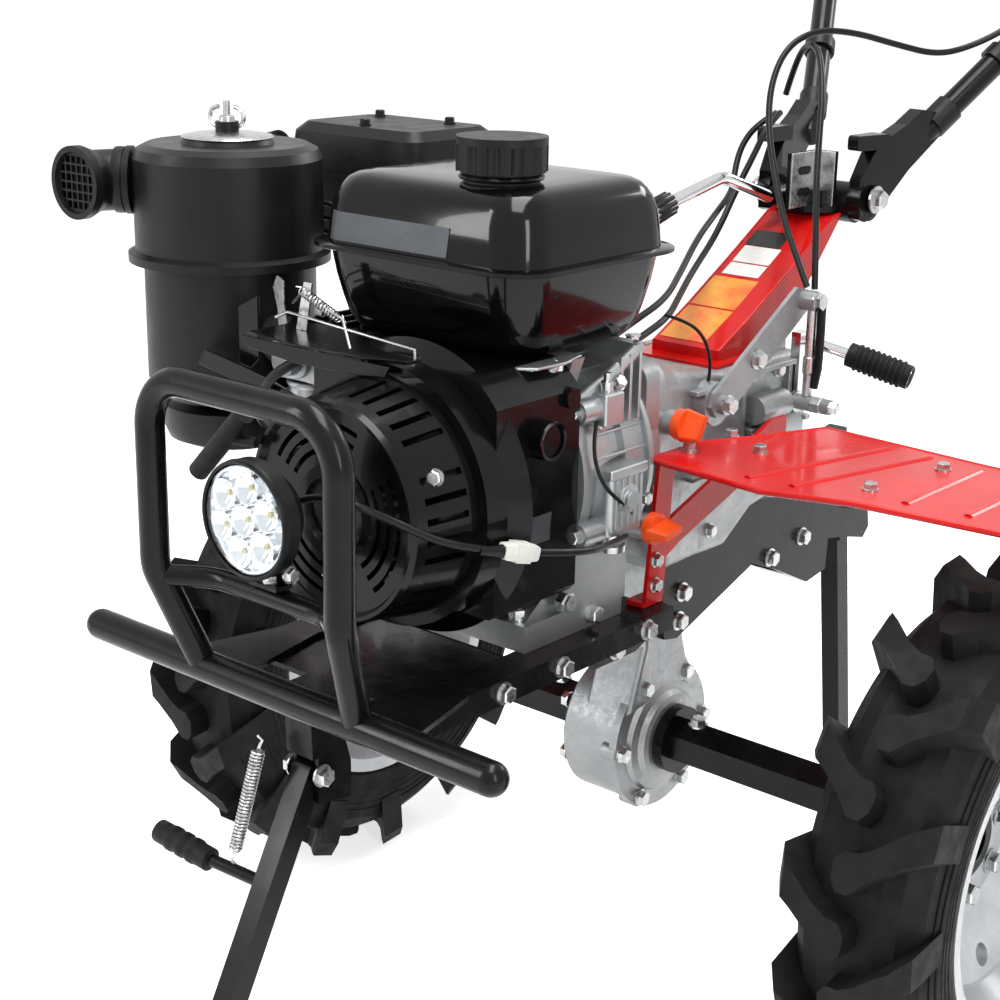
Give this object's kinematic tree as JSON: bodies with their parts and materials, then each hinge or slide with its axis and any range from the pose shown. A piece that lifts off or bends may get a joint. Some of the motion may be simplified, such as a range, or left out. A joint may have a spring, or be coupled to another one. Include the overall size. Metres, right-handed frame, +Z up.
{
  "type": "power tiller",
  "caption": "Two-wheel power tiller: front petrol engine with bumper frame and lamp, lugged tyres on a hexagonal axle, red fenders and console, raised handlebars, folding front stand.",
  "frame": {"origin": "centre of the outer box on the ground: midway between the wheels, and midway from the stand's foot to the rear grips", "axes": "+Z up, -Y to the machine's front (engine, lamp and stand), +Y to its rear (handlebars), +X to its left side"},
  "size_m": [0.828, 1.4676, 1.0623],
  "materials": {
    "tyre_rubber": "matte",
    "rubber": "matte",
    "black_paint": "gloss",
    "red_paint": "gloss",
    "grey_paint": "satin",
    "cast_aluminium": "satin",
    "rim_silver": "gloss",
    "bright_steel": "satin",
    "chrome": "gloss",
    "black_plastic": "matte",
    "orange_plastic": "gloss",
    "lamp_glass": "gloss"
  },
  "bodies": {
    "machine": {"air_cleaner": "black_paint", "brake_cable": "rubber", "brake_lever": "black_plastic", "bumper": "black_paint", "clutch_cable": "rubber", "clutch_lever": "black_plastic", "clutch_linkage": "grey_paint", "console_cover": "red_paint", "cylinder_head": "black_paint", "depth_stake": "black_paint", "engine_crankcase": "cast_aluminium", "engine_frame": "black_paint", "fan_shroud": "black_paint", "fender_left": "red_paint", "fender_right": "red_paint", "final_drive_case": "cast_aluminium", "fuel_cap": "black_plastic", "fuel_tank": "black_paint", "gear_lever": "bright_steel", "gearbox_housing": "cast_aluminium", "grip_left": "rubber", "grip_right": "rubber", "handle_base": "black_paint", "handlebar_left": "black_paint", "handlebar_right": "black_paint", "hitch_bracket": "black_paint", "intake_snorkel": "black_plastic", "lamp_body": "black_plastic", "lamp_lead": "rubber", "lamp_lens": "lamp_glass", "lock_lever": "chrome", "muffler": "black_paint", "oil_cap_lower": "orange_plastic", "oil_cap_upper": "orange_plastic", "pull_grip": "rubber", "recoil_starter": "black_paint", "stop_cable": "rubber", "throttle_cable": "rubber"},
    "wheels": {"tyre_left": "tyre_rubber", "tyre_right": "tyre_rubber", "rim_left": "rim_silver", "rim_right": "rim_silver", "hub_left": "black_paint", "hub_right": "black_paint", "axle_shaft": "bright_steel"},
    "stand": {"stand_leg": "black_paint", "stand_spring": "bright_steel"}
  },
  "joints": [
    {"name": "axle_turn", "type": "hinge", "parent": "machine", "child": "wheels", "pos_m": [0, -0.12624, 0.237], "axis": [1, 0, 0], "continuous": true},
    {"name": "stand_fold", "type": "hinge", "parent": "machine", "child": "stand", "pos_m": [0, -0.53124, 0.33], "axis": [1, 0, 0], "range_deg": [0, 85]}
  ]
}
